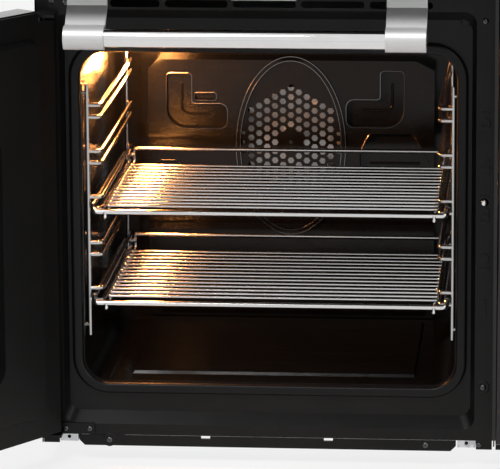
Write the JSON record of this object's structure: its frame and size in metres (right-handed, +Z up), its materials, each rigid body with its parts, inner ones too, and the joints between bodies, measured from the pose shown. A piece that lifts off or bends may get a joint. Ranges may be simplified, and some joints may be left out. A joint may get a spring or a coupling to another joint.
{
  "type": "range cooker with double oven",
  "caption": "Free-standing range cooker with a hob, a drop-down grill oven over a side-opening fan oven with ladder racks and wire shelves, and a tall oven beside them.",
  "frame": {"origin": "on the floor, under the middle of the body's width and depth", "axes": "+X to the right, -Y out of the front, +Z up"},
  "size_m": [1.2993, 1.0447, 0.9635],
  "materials": {
    "enamel_black": "gloss black vitreous enamel",
    "enamel_grey": "satin dark grey vitreous enamel",
    "enamel_cavity": "gloss black oven enamel",
    "galvanised": "galvanised sheet",
    "steel": "brushed",
    "chrome": "bright plated wire",
    "aluminium": "as cast or pressed",
    "cast_iron": "matt black enamel",
    "brass": "plain",
    "black_plastic": "moulded",
    "seal_rubber": "silicone",
    "glass_clear": "clear",
    "glass_dark": "tinted toughened glass"
  },
  "bodies": {
    "cooker": {"side_panel_left": "enamel_black", "side_panel_right": "enamel_black", "base_tray": "galvanised", "rear_cover": "galvanised", "centre_divider": "galvanised", "front_frame_left": "enamel_grey", "front_frame_right": "enamel_grey", "base_bar": "enamel_black", "feet": "black_plastic", "gas_inlet": "brass", "frame_screws": "steel", "main_liner": "enamel_cavity", "main_seal": "seal_rubber", "fan_cover": "enamel_cavity", "fan_motor": "steel", "ring_element": "steel", "side_racks": "chrome", "oven_lamp": "glass_clear", "grill_liner": "enamel_cavity", "grill_seal": "seal_rubber", "grill_element": "steel", "tall_liner": "enamel_cavity", "tall_seal": "seal_rubber", "tall_racks": "chrome", "tall_shelves": "chrome", "side_hinges": "steel", "grill_hinges": "steel", "catch_barrel": "steel", "control_fascia": "enamel_black", "taps_and_switch": "brass", "hob_tray": "enamel_black", "burner_crowns": "aluminium", "burner_caps": "cast_iron", "pan_supports": "cast_iron"},
    "fan": {"fan_impeller": "aluminium"},
    "upper_shelf": {"shelf_upper": "chrome"},
    "lower_shelf": {"shelf_lower": "chrome"},
    "pan": {"grill_pan": "enamel_cavity"},
    "main_door": {"main_door_skin": "enamel_black", "main_door_inner": "enamel_cavity", "main_door_glass": "glass_dark", "main_handle": "chrome"},
    "grill_door": {"grill_door_skin": "enamel_black", "grill_door_inner": "enamel_cavity", "grill_door_glass": "glass_dark", "grill_handle": "chrome"},
    "tall_door": {"tall_door_skin": "enamel_black", "tall_door_inner": "enamel_cavity", "tall_door_glass": "glass_dark", "tall_handle": "chrome"},
    "catch": {"catch_ball": "chrome"},
    "igniter": {"ignition_button": "black_plastic"},
    "control_1": {"knob_1": "steel"},
    "control_2": {"knob_2": "steel"},
    "control_3": {"knob_3": "steel"},
    "control_4": {"knob_4": "steel"},
    "control_5": {"knob_5": "steel"},
    "control_6": {"knob_6": "steel"},
    "control_7": {"knob_7": "steel"},
    "control_8": {"knob_8": "steel"}
  },
  "joints": [
    {"name": "main_door_hinge", "type": "hinge", "parent": "cooker", "child": "main_door", "pos_m": [-0.489, -0.318, 0.27], "axis": [0, 0, -1], "range_deg": [-125, 0]},
    {"name": "grill_door_hinge", "type": "hinge", "parent": "cooker", "child": "grill_door", "pos_m": [-0.248, -0.314, 0.5972], "axis": [1, 0, 0], "range_deg": [-90, 0]},
    {"name": "tall_door_hinge", "type": "hinge", "parent": "cooker", "child": "tall_door", "pos_m": [0.489, -0.318, 0.45], "axis": [0, 0, 1], "range_deg": [0, 125]},
    {"name": "upper_shelf_slide", "type": "slide", "parent": "cooker", "child": "upper_shelf", "axis": [0, -1, 0], "range_m": [0, 0.25]},
    {"name": "lower_shelf_slide", "type": "slide", "parent": "cooker", "child": "lower_shelf", "axis": [0, -1, 0], "range_m": [0, 0.25]},
    {"name": "grill_pan_slide", "type": "slide", "parent": "cooker", "child": "pan", "axis": [0, -1, 0], "range_m": [0, 0.2]},
    {"name": "fan_spin", "type": "hinge", "parent": "cooker", "child": "fan", "pos_m": [-0.248, 0.1, 0.2926], "axis": [0, 1, 0], "continuous": true},
    {"name": "catch_press", "type": "slide", "parent": "cooker", "child": "catch", "axis": [0, 1, 0], "range_m": [0, 0.003], "stiffness_N_per_m": 400, "springref_m": -0.003},
    {"name": "igniter_press", "type": "slide", "parent": "cooker", "child": "igniter", "axis": [0, 1, 0], "range_m": [0, 0.003], "stiffness_N_per_m": 400, "springref_m": -0.003},
    {"name": "control_1_turn", "type": "hinge", "parent": "cooker", "child": "control_1", "pos_m": [-0.428, -0.341, 0.898], "axis": [0, 1, 0], "range_deg": [-240, 0]},
    {"name": "control_2_turn", "type": "hinge", "parent": "cooker", "child": "control_2", "pos_m": [-0.336, -0.341, 0.898], "axis": [0, 1, 0], "range_deg": [-240, 0]},
    {"name": "control_3_turn", "type": "hinge", "parent": "cooker", "child": "control_3", "pos_m": [-0.244, -0.341, 0.898], "axis": [0, 1, 0], "range_deg": [-240, 0]},
    {"name": "control_4_turn", "type": "hinge", "parent": "cooker", "child": "control_4", "pos_m": [-0.152, -0.341, 0.898], "axis": [0, 1, 0], "range_deg": [0, 270]},
    {"name": "control_5_turn", "type": "hinge", "parent": "cooker", "child": "control_5", "pos_m": [0.152, -0.341, 0.898], "axis": [0, 1, 0], "range_deg": [0, 270]},
    {"name": "control_6_turn", "type": "hinge", "parent": "cooker", "child": "control_6", "pos_m": [0.244, -0.341, 0.898], "axis": [0, 1, 0], "range_deg": [0, 270]},
    {"name": "control_7_turn", "type": "hinge", "parent": "cooker", "child": "control_7", "pos_m": [0.336, -0.341, 0.898], "axis": [0, 1, 0], "range_deg": [-240, 0]},
    {"name": "control_8_turn", "type": "hinge", "parent": "cooker", "child": "control_8", "pos_m": [0.428, -0.341, 0.898], "axis": [0, 1, 0], "range_deg": [-240, 0]}
  ]
}
